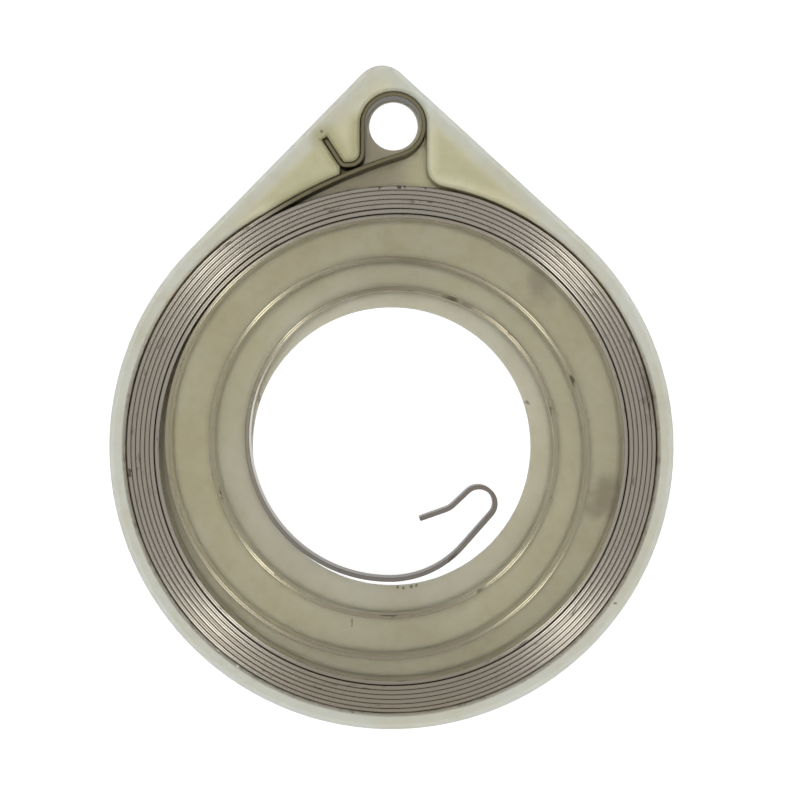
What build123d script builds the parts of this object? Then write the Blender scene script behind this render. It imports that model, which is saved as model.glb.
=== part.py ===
from build123d import *

import os
from math import acos, cos, degrees, radians, sin, sqrt

# Recoil starter spring: one long flat steel strip wound inside an open nylon cassette.
# Millimetres. The origin is the centre of the hub hole on the cassette's flat back face,
# +Z runs towards the open side and +Y towards the pointed end with the post hole.

# Cassette, plan view
body_radius = 37.1
side_wall = 2.1
hub_hole_radius = 18.6
post_beyond_body = 5.7
post_offset = 0.25
post_hole_radius = 3.25
loop_wall = 1.25
tail_wall = 2.34
apex_radius = 3.6

# Cassette, heights and edges
floor_thickness = 1.25
rim_above_strip = 0.45
outer_edge_bevel = 0.5
back_edge_bevel = 0.3
lead_in_bevel = 0.45
rim_flat = 0.1

# Hook pocket and the two hollows moulded into the back of the lands beside it
hook_clearance = 0.12
land_corner_radius = 2.7
land_skin = 1.8
flank_wall = 2.2
inner_wall = 1.2
core_corner_radius = 0.8

# Steel strip
strip_thickness = 0.55
strip_width = 7.0
end_corner_radius = 0.8

# Wound pack
wall_clearance = 0.045
pack_drop = 0.12
tight_gap = 0.05
slack_gap = 0.15
tight_turns = 5
slack_turns = 2
step_span = 75
lead_bow = 10.5

# Loose inner coil: how far it has closed in on the hub at each quarter turn, from 0 to 1
hub_overhang = 1.15
closing_shares = (0.05, 0.19, 0.337, 0.424, 0.503, 0.614, 0.664, 0.733, 0.88, 1)

# Outer hook: a loop for the post and a tail that locks round a tongue of the cassette
loop_inner_radius = 3.75
loop_drop = 0.4
tail_bend_radius = 1.7
tail_gap = 0.28
tail_flat = 0.5
tail_kink_radius = 1.05
tail_kink_turn = 60
tail_first_turn = 87
tail_length = 3.7

# Inner hook: it reaches into the hub hole and catches the notch in the hub
entry_bend_radius = 12.8
entry_turn = 48.5
entry_run = 5.7
eye_radius = 2.15
eye_turn = 175
throat_run = 2.5
lip_bend_radius = 3.2
lip_turn = 24
lip_length = 3.6

# Sizes that follow
rim_height = floor_thickness + strip_width + rim_above_strip
chamber_radius = body_radius - side_wall
strip_heights = (floor_thickness, floor_thickness + strip_width)
half_strip = strip_thickness / 2
half_slot = half_strip + hook_clearance
loop_radius = loop_inner_radius + half_strip

# The pocket's top edge is bevelled only as far as its thinnest walls allow
tongue_corner_radius = tail_kink_radius - half_slot
pocket_bevel = min(lead_in_bevel, loop_wall - outer_edge_bevel - rim_flat, tongue_corner_radius - rim_flat)


def ahead(angle):
    """Unit vector in the XY plane at an angle in degrees from +X."""
    return Vector(cos(radians(angle)), sin(radians(angle)))


class Trail:
    """Centre line of the strip, laid down as straight runs and tangent bends."""

    def __init__(self, point, heading):
        self.point = point
        self.heading = heading
        self.pieces = []

    def run(self, length):
        """Go straight on."""
        start = self.point
        self.point = start + ahead(self.heading) * length
        self.pieces.append(("run", start, self.point, self.heading))

    def bend(self, radius, turn):
        """Bend to the left for a positive turn in degrees, to the right for a negative one."""
        side = 90 if turn > 0 else -90
        centre = self.point + ahead(self.heading + side) * radius
        self.pieces.append(("bend", centre, radius, (self.heading - side, turn)))
        self.heading += turn
        self.point = centre + ahead(self.heading - side) * radius

    def bend_to_reach(self, direction, reach):
        """Bend left until the strip stands furthest out in a direction, at a reach from the hub."""
        turn = (direction + 90 - self.heading) % 360
        outward = ahead(direction)
        normal = ahead(self.heading + 90)
        self.bend((reach - self.point.dot(outward)) / (1 + normal.dot(outward)), turn)

    def draw_sides(self, half_width):
        """Draw both sides of a band of even width along the centre line."""
        for kind, first, second, third in self.pieces:
            for side in (-half_width, half_width):
                if kind == "run":
                    shift = ahead(third + 90) * side
                    Line(first + shift, second + shift)
                else:
                    CenterArc(first, second + side, *third)

    def draw_end(self, half_width):
        """Draw the square end of the band where the centre line stops."""
        across = ahead(self.heading + 90) * half_width
        Line(self.point - across, self.point + across)


# Post and the loop round it
post = Vector(post_offset, body_radius + post_beyond_body)
loop_centre = post - Vector(0, loop_drop)

# Turns of the pack: a long arc round the body, then a step inward by one pitch under the lead
pack_centre = Vector(0, -pack_drop)
outer_turn_radius = chamber_radius - wall_clearance - half_strip - pack_drop
pitches = [strip_thickness + tight_gap] * tight_turns + [strip_thickness + slack_gap] * slack_turns
half_step = step_span / 2
coil_start_radius = outer_turn_radius - sum(pitches)
coil_end_radius = hub_hole_radius - hub_overhang

# Lead: it leaves the pack a little before a straight one would, and bows out on its way to the loop
from_pack = loop_centre - pack_centre
both_radii = outer_turn_radius + loop_radius
from_pack_angle = degrees(acos(from_pack.X / from_pack.length))
lead_angle = from_pack_angle + degrees(acos(both_radii / from_pack.length)) + lead_bow
leave = ahead(lead_angle)
lead_flattening = (both_radii**2 - from_pack.length**2) / (2 * (from_pack.dot(leave) - both_radii))
lead_radius = outer_turn_radius + lead_flattening
lead_centre = pack_centre - leave * lead_flattening
lead_to_loop = loop_centre - lead_centre
lead_end_angle = degrees(acos(lead_to_loop.X / lead_to_loop.length))
leg_top = loop_centre - Vector(loop_radius, 0)

# Tail: its leg runs down until the bend just clears the lead
tail_bend_x = leg_top.X - tail_bend_radius
tail_to_lead = lead_radius + strip_thickness + tail_gap + tail_bend_radius
tail_bend_y = lead_centre.Y + sqrt(tail_to_lead**2 - (tail_bend_x - lead_centre.X) ** 2)

tail = Trail(leg_top, -90)
tail.run(leg_top.Y - tail_bend_y)
tail.bend(tail_bend_radius, -tail_first_turn)
tail.run(tail_flat)
tail.bend(tail_kink_radius, -tail_kink_turn)
tail.run(tail_length)

# Outline of the cassette: the right flank passes the loop and the left one the tail's end at a
# set wall, and both run tangent to the round body and to the rounded apex
loop_angle = degrees(acos(loop_centre.X / loop_centre.length))
loop_to_flank = loop_radius + half_slot + loop_wall
right_flank_angle = loop_angle - degrees(acos((body_radius - loop_to_flank) / loop_centre.length))
tail_angle = degrees(acos(tail.point.X / tail.point.length))
left_flank_angle = tail_angle + degrees(acos((body_radius - tail_wall) / tail.point.length))
flank_angle = left_flank_angle - right_flank_angle
apex_reach = (body_radius - apex_radius) / cos(radians(flank_angle / 2))
apex = ahead(right_flank_angle + flank_angle / 2) * apex_reach

strip = Trail(leg_top, 90)
strip.bend(loop_radius, lead_end_angle - 360)
strip.bend(lead_radius, lead_angle - lead_end_angle)
turn_radius = outer_turn_radius
for pitch in pitches:
    step_shift = pitch / (2 * (1 - cos(radians(half_step))))
    strip.bend(turn_radius, 360 - 2 * half_step)
    strip.bend(turn_radius - step_shift, half_step)
    turn_radius -= pitch
    strip.bend(turn_radius + step_shift, half_step)
for quarter, share in enumerate(closing_shares):
    reach = coil_start_radius + (coil_end_radius - coil_start_radius) * share
    strip.bend_to_reach(180 + 90 * quarter, reach)
strip.bend(entry_bend_radius, entry_turn)
strip.run(entry_run)
strip.bend(eye_radius, eye_turn)
strip.run(throat_run)
strip.bend(lip_bend_radius, -lip_turn)
strip.run(lip_length)

# The strip's path as far as the pack, which its slot in the cassette follows
lead = Trail(leg_top, 90)
lead.bend(loop_radius, lead_end_angle - 360)
lead.bend(lead_radius, lead_angle - lead_end_angle)


# Spring
with BuildPart() as spring:
    with BuildSketch(Plane.XY.offset(floor_thickness)):
        with BuildLine():
            tail.draw_sides(half_strip)
            tail.draw_end(half_strip)
            strip.draw_sides(half_strip)
            strip.draw_end(half_strip)
        make_face()
    extrude(amount=strip_width)
    tips = [trail.point + Vector(0, 0, height) for trail in (tail, strip) for height in strip_heights]
    fillet([spring.edges().sort_by_distance(tip)[0] for tip in tips], end_corner_radius)

spring.part.label = "spring"

# Throat between the tail and the lead, the wedge below the lead, and the land's corner beside them
tail_bend = Vector(tail_bend_x, tail_bend_y)
tail_kink = tail.point - ahead(tail.heading) * tail_length
below_kink_angle = degrees(acos((tail_kink.X - lead_centre.X) / lead_radius))
below_kink = lead_centre + ahead(below_kink_angle) * lead_radius
lead_start = lead_centre + ahead(lead_angle) * lead_radius
lead_end = lead_centre + ahead(lead_end_angle) * lead_radius
pocket_right = loop_centre.X + loop_radius + half_slot
land_corner_x = pocket_right + land_corner_radius
land_corner = Vector(land_corner_x, sqrt((chamber_radius + land_corner_radius) ** 2 - land_corner_x**2))
land_corner_turn = degrees(acos(land_corner.X / land_corner.length))

# Lines that the hollows keep to: both flanks, the pocket's right wall and the tail's slot
hollow_reach = body_radius - flank_wall
right_foot = ahead(right_flank_angle) * hollow_reach
left_foot = ahead(left_flank_angle) * hollow_reach
right_hollow_x = pocket_right + inner_wall
right_hollow_top = right_foot + ahead(right_flank_angle + 90) * (
    (right_foot.X - right_hollow_x) / sin(radians(right_flank_angle))
)
beside_tail = tail.point + ahead(tail.heading + 90) * (half_slot + inner_wall)
tail_to_flank = (hollow_reach - beside_tail.dot(ahead(left_flank_angle))) / cos(
    radians(tail.heading - left_flank_angle)
)
left_hollow_top = beside_tail + ahead(tail.heading) * tail_to_flank
left_hollow_foot = left_hollow_top - ahead(tail.heading) * body_radius

# Cassette
with BuildPart() as cassette:
    with BuildSketch():
        with BuildLine():
            CenterArc(apex, apex_radius, right_flank_angle, flank_angle)
            Line(apex + ahead(left_flank_angle) * apex_radius, ahead(left_flank_angle) * body_radius)
            CenterArc((0, 0), body_radius, left_flank_angle, 360 - flank_angle)
            Line(ahead(right_flank_angle) * body_radius, apex + ahead(right_flank_angle) * apex_radius)
        make_face()
    extrude(amount=rim_height)
    chamfer(cassette.faces().sort_by(Axis.Z)[-1].edges(), outer_edge_bevel)
    chamfer(cassette.faces().sort_by(Axis.Z)[0].edges(), back_edge_bevel)

    with BuildSketch(Plane.XY.offset(floor_thickness)):
        Circle(chamber_radius)
        with Locations(loop_centre):
            Circle(loop_radius)
        with BuildLine():
            tail.draw_sides(half_slot)
            lead.draw_sides(half_slot)
            lead.draw_end(half_slot)
            tail.draw_end(half_slot)
        make_face()
        with BuildLine():
            CenterArc(lead_centre, lead_radius, below_kink_angle, lead_end_angle - below_kink_angle)
            Polyline(lead_end, loop_centre, leg_top, tail_bend + Vector(tail_bend_radius, 0))
            CenterArc(tail_bend, tail_bend_radius, 0, -tail_first_turn)
            Polyline(tail_bend + ahead(-tail_first_turn) * tail_bend_radius, tail_kink, below_kink)
        make_face()
        with BuildLine():
            CenterArc(lead_centre, lead_radius, lead_angle, lead_end_angle - lead_angle)
            Polyline(lead_end, (pocket_right, loop_centre.Y), (pocket_right, land_corner.Y))
            CenterArc(land_corner, land_corner_radius, 180, land_corner_turn)
            Line(land_corner * (chamber_radius / land_corner.length), lead_start)
        make_face()
    extrude(amount=rim_height, mode=Mode.SUBTRACT)
    rim = cassette.faces().sort_by(Axis.Z)[-1]
    chamfer(rim.inner_wires().edges(), pocket_bevel)

    with BuildSketch():
        Circle(hub_hole_radius)
        with Locations(post):
            Circle(post_hole_radius)
    extrude(amount=floor_thickness, mode=Mode.SUBTRACT)

    with BuildSketch() as right_hollow:
        with BuildLine():
            Polyline(right_foot, right_hollow_top, (right_hollow_x, right_foot.Y), close=True)
        make_face()
        Circle(chamber_radius + inner_wall, mode=Mode.SUBTRACT)
        fillet(right_hollow.vertices(), core_corner_radius)
    with BuildSketch() as left_hollow:
        with BuildLine():
            Polyline(left_foot, left_hollow_top, left_hollow_foot, close=True)
        make_face()
        with Locations(lead_centre):
            Circle(lead_radius + half_slot + inner_wall, mode=Mode.SUBTRACT)
        fillet(left_hollow.vertices(), core_corner_radius)
    extrude(amount=rim_height - land_skin, mode=Mode.SUBTRACT)

cassette.part.label = "cassette"

os.makedirs("parts", exist_ok=True)
export_step(cassette.part, "parts/cassette.step")
export_step(spring.part, "parts/spring.step")
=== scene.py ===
"""Recoil starter spring: one flat steel strip wound inside an open cassette of natural nylon."""

import logging
import math
from dataclasses import dataclass, field
from enum import Enum

import bpy
from mathutils import Matrix, Vector


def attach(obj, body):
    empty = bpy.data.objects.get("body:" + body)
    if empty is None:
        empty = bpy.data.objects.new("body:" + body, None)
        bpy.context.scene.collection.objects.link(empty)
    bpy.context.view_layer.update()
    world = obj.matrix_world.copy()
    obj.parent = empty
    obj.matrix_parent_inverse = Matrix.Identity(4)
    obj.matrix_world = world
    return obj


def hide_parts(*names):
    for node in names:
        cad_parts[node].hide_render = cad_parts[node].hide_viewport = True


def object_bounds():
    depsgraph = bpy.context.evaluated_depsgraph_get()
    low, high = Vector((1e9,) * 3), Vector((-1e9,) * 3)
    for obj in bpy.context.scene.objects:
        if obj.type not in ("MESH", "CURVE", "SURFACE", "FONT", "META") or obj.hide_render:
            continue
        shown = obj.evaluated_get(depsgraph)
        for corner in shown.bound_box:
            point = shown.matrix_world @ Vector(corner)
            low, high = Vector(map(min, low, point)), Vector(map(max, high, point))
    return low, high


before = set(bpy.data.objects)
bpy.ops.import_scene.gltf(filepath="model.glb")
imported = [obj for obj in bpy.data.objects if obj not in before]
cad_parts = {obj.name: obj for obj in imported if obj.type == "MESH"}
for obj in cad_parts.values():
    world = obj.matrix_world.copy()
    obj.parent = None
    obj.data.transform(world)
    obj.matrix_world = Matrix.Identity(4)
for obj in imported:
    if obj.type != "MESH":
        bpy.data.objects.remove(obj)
cad_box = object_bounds()

MM = 0.001
LOG = logging.getLogger("starter_spring")

Triple = tuple[float, float, float]
Colour = Triple

HUB = Vector((0, 0))
TO_RIGHT = Vector((1, 0))
TO_POST = Vector((0, 1))


def paint(red: int, green: int, blue: int) -> Colour:
    """Turn a colour mixed on the 0 to 255 scale of a screen into the linear one that light uses.

    Args:
        red: Red, 0 to 255.
        green: Green, 0 to 255.
        blue: Blue, 0 to 255.

    Returns:
        The linear colour, each part from 0 to 1.
    """
    shades = (red / 255, green / 255, blue / 255)
    return tuple(shade / 12.92 if shade <= 0.04045 else ((shade + 0.055) / 1.055) ** 2.4 for shade in shades)


def ahead(angle: float) -> Vector:
    """Unit vector in the XY plane at an angle in degrees from +X."""
    return Vector((math.cos(math.radians(angle)), math.sin(math.radians(angle))))


def angle_of(place: Vector) -> float:
    """Angle in degrees from +X of a place in the XY plane."""
    return math.degrees(math.atan2(place.y, place.x))


@dataclass(frozen=True)
class Station:
    """One place along the strip's centre line.

    Args:
        place: Where it is, in plan.
        heading: Which way the strip runs there, in degrees from +X.
        along: How far it is from the start of the trail.
    """

    place: Vector
    heading: float
    along: float


class Trail:
    """Centre line of the strip in plan, laid down as straight runs and tangent bends.

    Stations stand every wide_step degrees round a bend, every tight_step degrees where its radius is under
    tight_radius, and every run_step along a straight run.
    """

    wide_step: float = 2.0
    tight_step: float = 5.0
    tight_radius: float = 8.0 * MM
    run_step: float = 1.0 * MM

    def __init__(self, place: Vector, heading: float) -> None:
        """Start at a place, on a heading in degrees."""
        self.stations = [Station(place, heading, 0.0)]

    @property
    def last(self) -> Station:
        """The station that the trail has come to."""
        return self.stations[-1]

    def run(self, length: float) -> None:
        """Go straight on.

        Args:
            length: Length of the run.
        """
        start = self.last
        count = math.ceil(length / self.run_step)
        for index in range(1, count + 1):
            gone = length * index / count
            place = start.place + ahead(start.heading) * gone
            self.stations.append(Station(place, start.heading, start.along + gone))

    def bend(self, radius: float, turn: float) -> None:
        """Bend round a centre beside the strip.

        Args:
            radius: Radius of the centre line.
            turn: Degrees turned, to the left where positive and to the right where negative.
        """
        start = self.last
        side = math.copysign(90, turn)
        centre = start.place + ahead(start.heading + side) * radius
        step = self.tight_step if radius < self.tight_radius else self.wide_step
        count = math.ceil(abs(turn) / step)
        for index in range(1, count + 1):
            turned = turn * index / count
            place = centre + ahead(start.heading + turned - side) * radius
            gone = radius * math.radians(abs(turned))
            self.stations.append(Station(place, start.heading + turned, start.along + gone))

    def bend_to_reach(self, direction: float, reach: float) -> None:
        """Bend left until the strip stands furthest out in a direction.

        Args:
            direction: That direction, in degrees from +X.
            reach: How far out the centre line gets, from the middle of the hub.
        """
        start = self.last
        turn = (direction + 90 - start.heading) % 360
        outward = ahead(direction)
        normal = ahead(start.heading + 90)
        self.bend((reach - start.place.dot(outward)) / (1 + normal.dot(outward)), turn)

    def turned_round(self) -> list[Station]:
        """The same stations from the far end, each facing the other way."""
        length = self.last.along
        return [Station(s.place, s.heading + 180, length - s.along) for s in reversed(self.stations)]


@dataclass(frozen=True)
class CassetteSizes:
    """Sizes of the moulded cassette and where its post and loop are, in metres.

    Args:
        body_radius: Radius of the round body.
        side_wall: Thickness of the round side wall.
        hub_hole_radius: Radius of the large hole in the floor.
        floor_thickness: Thickness of the floor.
        post_beyond_body: How far the post stands beyond the round body.
        post_offset: How far the post is off the middle line.
        loop_drop: How far the strip's loop sits below the post.
        loop_inner_radius: Inside radius of the loop.
        hook_clearance: Room on each side of the strip in its slot.
        loop_wall: Wall outside the loop.
        tail_wall: Wall between the tail's end and the left flank.
        flank_wall: Wall between a flank and the hollow behind it.
        inner_wall: Wall between the hollows and the pocket.
    """

    body_radius: float = 37.1 * MM
    side_wall: float = 2.1 * MM
    hub_hole_radius: float = 18.6 * MM
    floor_thickness: float = 1.25 * MM
    post_beyond_body: float = 5.7 * MM
    post_offset: float = 0.25 * MM
    loop_drop: float = 0.4 * MM
    loop_inner_radius: float = 3.75 * MM
    hook_clearance: float = 0.12 * MM
    loop_wall: float = 1.25 * MM
    tail_wall: float = 2.34 * MM
    flank_wall: float = 2.2 * MM
    inner_wall: float = 1.2 * MM

    @property
    def chamber_radius(self) -> float:
        """Inside radius of the round chamber."""
        return self.body_radius - self.side_wall

    @property
    def post(self) -> Vector:
        """Middle of the post hole, in plan."""
        return Vector((self.post_offset, self.body_radius + self.post_beyond_body))

    @property
    def loop_centre(self) -> Vector:
        """Middle of the strip's loop, in plan."""
        return self.post - Vector((0, self.loop_drop))


@dataclass
class StripPath:
    """The strip's centre line from the tail's end to the inner hook's tip, in metres and degrees.

    Args:
        cassette: The cassette that holds the strip.
        thickness: Thickness of the strip.
        wall_clearance: Gap between the first turn and the side wall.
        pack_drop: How far the wound turns sit below the hub's middle.
        gaps: Gap inside each wound turn, from the outermost.
        step_span: Arc over which a turn steps inward.
        lead_bow: How much sooner than a straight lead the bowed one leaves the pack.
        hub_overhang: How far the innermost turn stands over the hub hole.
        closing_shares: How far the loose coil has closed in on the hub at each quarter turn.
        tail_bend_radius: Radius of the tail's first bend.
        tail_gap: Gap between the tail's bend and the lead.
        tail_flat: Straight between the tail's bends.
        tail_kink_radius: Radius of the tail's second bend.
        tail_kink_turn: Turn of the tail's second bend.
        tail_first_turn: Turn of the tail's first bend.
        tail_length: Straight end of the tail.
        entry_bend_radius: Radius of the bend into the hub hole.
        entry_turn: Turn of that bend.
        entry_run: Straight run to the eye.
        eye_radius: Radius of the eye.
        eye_turn: Turn of the eye.
        throat_run: Straight run after the eye.
        lip_bend_radius: Radius of the lip's bend.
        lip_turn: Turn of the lip's bend.
        lip_length: Straight end of the lip.
    """

    cassette: CassetteSizes
    thickness: float = 0.55 * MM
    wall_clearance: float = 0.045 * MM
    pack_drop: float = 0.12 * MM
    gaps: tuple[float, ...] = (0.05 * MM,) * 5 + (0.15 * MM,) * 2
    step_span: float = 75
    lead_bow: float = 10.5
    hub_overhang: float = 1.15 * MM
    closing_shares: tuple[float, ...] = (0.05, 0.19, 0.337, 0.424, 0.503, 0.614, 0.664, 0.733, 0.88, 1)
    tail_bend_radius: float = 1.7 * MM
    tail_gap: float = 0.28 * MM
    tail_flat: float = 0.5 * MM
    tail_kink_radius: float = 1.05 * MM
    tail_kink_turn: float = 60
    tail_first_turn: float = 87
    tail_length: float = 3.7 * MM
    entry_bend_radius: float = 12.8 * MM
    entry_turn: float = 48.5
    entry_run: float = 5.7 * MM
    eye_radius: float = 2.15 * MM
    eye_turn: float = 175
    throat_run: float = 2.5 * MM
    lip_bend_radius: float = 3.2 * MM
    lip_turn: float = 24
    lip_length: float = 3.6 * MM

    def __post_init__(self) -> None:
        """Work out the lead, which ties the loop to the pack."""
        sizes = self.cassette
        self.loop_radius = sizes.loop_inner_radius + self.thickness / 2
        self.half_slot = self.thickness / 2 + sizes.hook_clearance
        first_turn_outside = sizes.chamber_radius - self.wall_clearance
        self.outer_turn_radius = first_turn_outside - self.thickness / 2 - self.pack_drop
        pack_centre = Vector((0, -self.pack_drop))
        from_pack = sizes.loop_centre - pack_centre
        both_radii = self.outer_turn_radius + self.loop_radius
        straight_lead = angle_of(from_pack) + math.degrees(math.acos(both_radii / from_pack.length))
        self.lead_angle = straight_lead + self.lead_bow
        leave = ahead(self.lead_angle)
        flattening = (both_radii**2 - from_pack.length_squared) / (2 * (from_pack.dot(leave) - both_radii))
        self.lead_radius = self.outer_turn_radius + flattening
        self.lead_centre = pack_centre - leave * flattening
        self.lead_end_angle = angle_of(sizes.loop_centre - self.lead_centre)
        self.leg_top = sizes.loop_centre - Vector((self.loop_radius, 0))
        self.tail = self.lay_tail()
        loop_length = self.loop_radius * math.radians(360 - self.lead_end_angle)
        lead_length = self.lead_radius * math.radians(self.lead_angle - self.lead_end_angle)
        self.outer_hook_length = self.tail.last.along + loop_length + lead_length
        eye_length = self.eye_radius * math.radians(self.eye_turn)
        lip_length = self.lip_bend_radius * math.radians(self.lip_turn) + self.lip_length
        self.inner_hook_length = self.entry_run + eye_length + self.throat_run + lip_length
        self.line = self.join()

    def lay_tail(self) -> Trail:
        """Lay the locking tail from the side of the loop to its end.

        Returns:
            The tail's centre line.
        """
        bend_x = self.leg_top.x - self.tail_bend_radius
        to_lead = self.lead_radius + self.thickness + self.tail_gap + self.tail_bend_radius
        bend_y = self.lead_centre.y + math.sqrt(to_lead**2 - (bend_x - self.lead_centre.x) ** 2)
        tail = Trail(self.leg_top, -90)
        tail.run(self.leg_top.y - bend_y)
        tail.bend(self.tail_bend_radius, -self.tail_first_turn)
        tail.run(self.tail_flat)
        tail.bend(self.tail_kink_radius, -self.tail_kink_turn)
        tail.run(self.tail_length)
        return tail

    def tail_corners(self, turn: float = 28) -> list[int]:
        """Pick stations of the tail that keep its shape with few straight pieces.

        Args:
            turn: Degrees that the tail turns between two of them, at least.

        Returns:
            Their places in the list of the tail's stations.
        """
        stations = self.tail.stations
        picked = [0]
        for index, station in enumerate(stations):
            if abs(station.heading - stations[picked[-1]].heading) > turn:
                picked.append(index)
        return picked + [len(stations) - 1]

    def lay_coil(self) -> Trail:
        """Lay the loop, the lead, the wound turns, the loose turns and the inner hook.

        Returns:
            The centre line from the side of the loop to the tip of the inner hook.
        """
        coil = Trail(self.leg_top, 90)
        coil.bend(self.loop_radius, self.lead_end_angle - 360)
        coil.bend(self.lead_radius, self.lead_angle - self.lead_end_angle)
        radius = self.outer_turn_radius
        half_step = self.step_span / 2
        for gap in self.gaps:
            pitch = self.thickness + gap
            shift = pitch / (2 * (1 - math.cos(math.radians(half_step))))
            coil.bend(radius, 360 - self.step_span)
            coil.bend(radius - shift, half_step)
            radius -= pitch
            coil.bend(radius + shift, half_step)
        self.loose_from = self.tail.last.along + coil.last.along
        end_radius = self.cassette.hub_hole_radius - self.hub_overhang
        for quarter, share in enumerate(self.closing_shares):
            coil.bend_to_reach(180 + 90 * quarter, radius + (end_radius - radius) * share)
        coil.bend(self.entry_bend_radius, self.entry_turn)
        coil.run(self.entry_run)
        coil.bend(self.eye_radius, self.eye_turn)
        coil.run(self.throat_run)
        coil.bend(self.lip_bend_radius, -self.lip_turn)
        coil.run(self.lip_length)
        return coil

    def join(self) -> list[Station]:
        """Join the tail and the coil into one line.

        Returns:
            All stations from the tail's end to the inner hook's tip.
        """
        tail = self.tail.turned_round()
        tail_length = tail[-1].along
        coil = self.lay_coil().stations[1:]
        return tail + [Station(s.place, s.heading, s.along + tail_length) for s in coil]


class Sum(Enum):
    """Arithmetic that a shader does on numbers."""

    ADD = "ADD"
    SUBTRACT = "SUBTRACT"
    MULTIPLY = "MULTIPLY"
    LEAST = "MINIMUM"
    GREATEST = "MAXIMUM"
    SIZE = "ABSOLUTE"


class Blend(Enum):
    """How one colour is laid over another."""

    COVER = "MIX"
    DARKEN = "MULTIPLY"


Socket = bpy.types.NodeSocket

CLOUD_RANGE = (0.3, 0.7)


class Bench:
    """Work place for one material: it adds nodes and wires them."""

    def __init__(self, name: str) -> None:
        """Start a material that has one shader and nothing else."""
        self.material = bpy.data.materials.new(name)
        self.material.use_nodes = True
        self.tree = self.material.node_tree
        self.shader = self.tree.nodes["Principled BSDF"]
        self.place = self.add("ShaderNodeTexCoord").outputs["Object"]

    def add(self, kind: str, **settings: str) -> bpy.types.Node:
        """Add a node.

        Args:
            kind: Blender's name of the node.
            settings: Values of the node's own options.

        Returns:
            The node.
        """
        node = self.tree.nodes.new(kind)
        for key, value in settings.items():
            setattr(node, key, value)
        return node

    def feed(self, target: Socket, source: Socket | float | Colour) -> None:
        """Wire a socket to another, or set it to a value.

        Args:
            target: Socket that takes the value.
            source: Socket that gives it, a number or a colour.
        """
        if isinstance(source, bpy.types.NodeSocket):
            self.tree.links.new(source, target)
        elif isinstance(source, tuple):
            target.default_value = (*source, 1.0) if len(target.default_value) == 4 else source
        else:
            target.default_value = source

    def reckon(self, kind: Sum, first: Socket | float, second: Socket | float) -> Socket:
        """Reckon with two numbers.

        Args:
            kind: What to do with them.
            first: The first number.
            second: The second number.

        Returns:
            The result's socket.
        """
        node = self.add("ShaderNodeMath", operation=kind.value)
        self.feed(node.inputs[0], first)
        self.feed(node.inputs[1], second)
        return node.outputs[0]

    def slide(self, value: Socket, low: float, high: float, start: float = 0.0, end: float = 1.0) -> Socket:
        """Turn a stretch of one value into a soft slide from one number to another.

        Args:
            value: The value that is looked at.
            low: Value at which the slide starts.
            high: Value at which it ends.
            start: Number given up to low.
            end: Number given from high on.

        Returns:
            The result's socket.
        """
        node = self.add("ShaderNodeMapRange", interpolation_type="SMOOTHSTEP")
        for socket, source in zip(node.inputs, (value, low, high, start, end)):
            self.feed(socket, source)
        return node.outputs[0]

    def rest_of(self, share: Socket) -> Socket:
        """What is left of 1 beside a share."""
        return self.reckon(Sum.SUBTRACT, 1.0, share)

    def both(self, first: Socket, second: Socket) -> Socket:
        """One share of another."""
        return self.reckon(Sum.MULTIPLY, first, second)

    def wander(self, value: Socket, clouds: Socket, reach: float) -> Socket:
        """Let a value wander with cloudy noise, up to a reach either way.

        Args:
            value: The value.
            clouds: The noise.
            reach: How far it wanders.

        Returns:
            The result's socket.
        """
        return self.reckon(Sum.ADD, value, self.slide(clouds, *CLOUD_RANGE, -reach, reach))

    def lay(
        self, kind: Blend, amount: Socket | float, below: Socket | Colour, above: Socket | Colour
    ) -> Socket:
        """Lay one colour over another.

        Args:
            kind: How it is laid.
            amount: How much of it shows, 0 to 1.
            below: The colour below.
            above: The colour above.

        Returns:
            The result's socket.
        """
        node = self.add("ShaderNodeMix", data_type="RGBA", blend_type=kind.value)
        self.feed(node.inputs[0], amount)
        self.feed(node.inputs[6], below)
        self.feed(node.inputs[7], above)
        return node.outputs[2]

    def noise(self, where: Socket, grain: float, detail: float = 3.0, roughness: float = 0.5) -> Socket:
        """Add cloudy noise.

        Args:
            where: Place that is looked up.
            grain: Size of one blotch, in metres.
            detail: How many finer layers it has.
            roughness: How strong the finer layers are.

        Returns:
            The noise's socket, about 0.2 to 0.8.
        """
        node = self.add("ShaderNodeTexNoise")
        self.feed(node.inputs["Vector"], where)
        self.feed(node.inputs["Scale"], 1 / grain)
        self.feed(node.inputs["Detail"], detail)
        self.feed(node.inputs["Roughness"], roughness)
        return node.outputs["Fac"]

    def scaled(self, where: Socket, scale: Triple) -> Socket:
        """Stretch a place along its axes.

        Args:
            where: The place.
            scale: Factor along each axis.

        Returns:
            The stretched place's socket.
        """
        node = self.add("ShaderNodeVectorMath", operation="MULTIPLY")
        self.feed(node.inputs[0], where)
        node.inputs[1].default_value = scale
        return node.outputs[0]

    def distance(self, centre: Triple, stretch: float = 1.0) -> Socket:
        """How far a place is from a point.

        Args:
            centre: The point, as X, Y and Z.
            stretch: How many times further the measure reaches along Y.

        Returns:
            The distance's socket.
        """
        x, y, z = centre
        node = self.add("ShaderNodeVectorMath", operation="DISTANCE")
        self.feed(node.inputs[0], self.scaled(self.place, (1, 1 / stretch, 1)))
        node.inputs[1].default_value = (x, y / stretch, z)
        return node.outputs["Value"]

    def in_plan(self) -> Socket:
        """The place with its height taken away."""
        return self.scaled(self.place, (1, 1, 0))

    def radius(self, centre: Vector) -> Socket:
        """How far a place is from a point, seen in plan.

        Args:
            centre: The point.

        Returns:
            The distance's socket.
        """
        node = self.add("ShaderNodeVectorMath", operation="DISTANCE")
        self.feed(node.inputs[0], self.in_plan())
        node.inputs[1].default_value = (centre.x, centre.y, 0)
        return node.outputs["Value"]

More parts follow.
